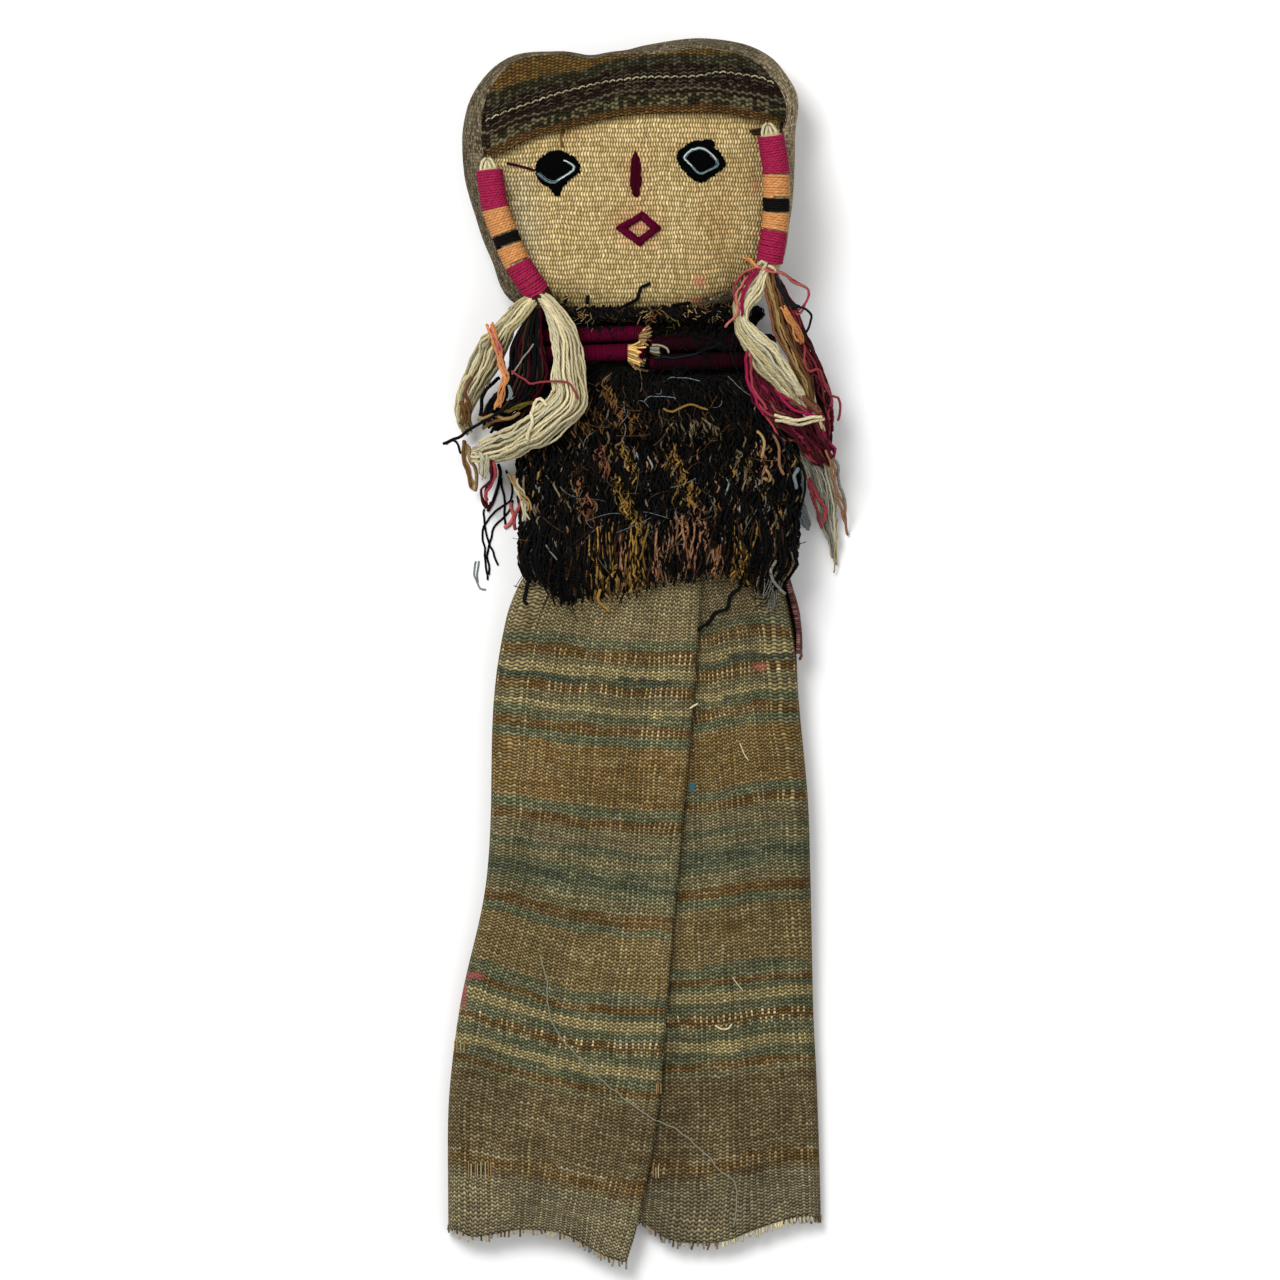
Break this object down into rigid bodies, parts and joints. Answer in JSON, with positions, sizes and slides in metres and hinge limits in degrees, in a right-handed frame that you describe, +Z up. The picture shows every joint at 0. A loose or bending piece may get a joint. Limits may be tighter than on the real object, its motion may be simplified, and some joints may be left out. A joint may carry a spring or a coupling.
{
  "type": "chancay figure",
  "caption": "Flat cloth doll with a stuffed stitched face, wrapped side braids with tassels, a dark pile shawl and a long striped wrap skirt.",
  "frame": {"origin": "middle of the underside of the doll as it lies on its back", "axes": "+Y towards the top of the head, +X to the right as the face is looked at, +Z up out of the face"},
  "size_m": [0.1012, 0.3193, 0.036],
  "materials": {
    "face_cloth": "plain-woven cream cotton over the head and trunk",
    "hood_cloth": "plain-woven brown cloth, matt",
    "band_cloth": "brown and green striped band cloth, coarse and matt",
    "black_yarn": "black wool yarn",
    "white_yarn": "off-white cotton thread",
    "magenta_yarn": "magenta wool yarn wound side by side",
    "dark_magenta_yarn": "dark magenta wool yarn",
    "orange_yarn": "orange wool yarn wound side by side",
    "cream_yarn": "loose cream plied cotton yarns with coloured strands",
    "dark_pile": "near-black pile with gold and brown tufts",
    "skirt_cloth": "tan plain weave with brown, green and cream weft stripes",
    "dark_cloth": "dark reddish brown cloth"
  },
  "bodies": {
    "root": {"stuffed_body": "face_cloth", "hood": "hood_cloth", "forehead_band": "band_cloth", "left_eye": "black_yarn", "right_eye": "black_yarn", "left_eye_thread": "white_yarn", "right_eye_thread": "white_yarn", "nose_stitches": "dark_magenta_yarn", "mouth_stitches": "dark_magenta_yarn", "left_wrap_magenta_top": "magenta_yarn", "left_wrap_orange_upper": "orange_yarn", "left_wrap_black": "black_yarn", "left_wrap_orange_lower": "orange_yarn", "left_wrap_magenta_bottom": "magenta_yarn", "right_wrap_magenta_top": "magenta_yarn", "right_wrap_orange_upper": "orange_yarn", "right_wrap_black": "black_yarn", "right_wrap_orange_lower": "orange_yarn", "right_wrap_magenta_bottom": "magenta_yarn", "left_tassel": "cream_yarn", "right_tassel": "cream_yarn", "shawl": "dark_pile", "upper_neck_cord": "dark_magenta_yarn", "lower_neck_cord": "dark_magenta_yarn", "skirt": "skirt_cloth", "side_strip": "dark_cloth"}
  },
  "joints": []
}
